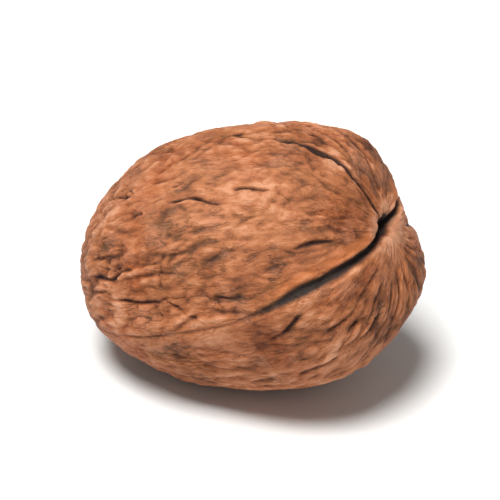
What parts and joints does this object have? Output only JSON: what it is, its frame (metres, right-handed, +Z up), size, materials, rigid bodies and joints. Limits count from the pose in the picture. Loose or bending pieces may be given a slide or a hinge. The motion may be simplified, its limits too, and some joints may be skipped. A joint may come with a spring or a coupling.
{
  "type": "walnut",
  "caption": "Whole walnut in its wrinkled shell, with a seam all round, a pit at the stem end and a small flat spot to lie on.",
  "frame": {"origin": "under the middle of the nut's box, on the surface it lies on", "axes": "+Z up; +X level, on the side of the raised stem end, so the nut's long axis is in the XZ plane; +Y completes the frame"},
  "size_m": [0.043, 0.0312, 0.0335],
  "materials": {
    "shell": "matte, dry woody shell"
  },
  "bodies": {
    "root": {"walnut": "shell"}
  },
  "joints": []
}
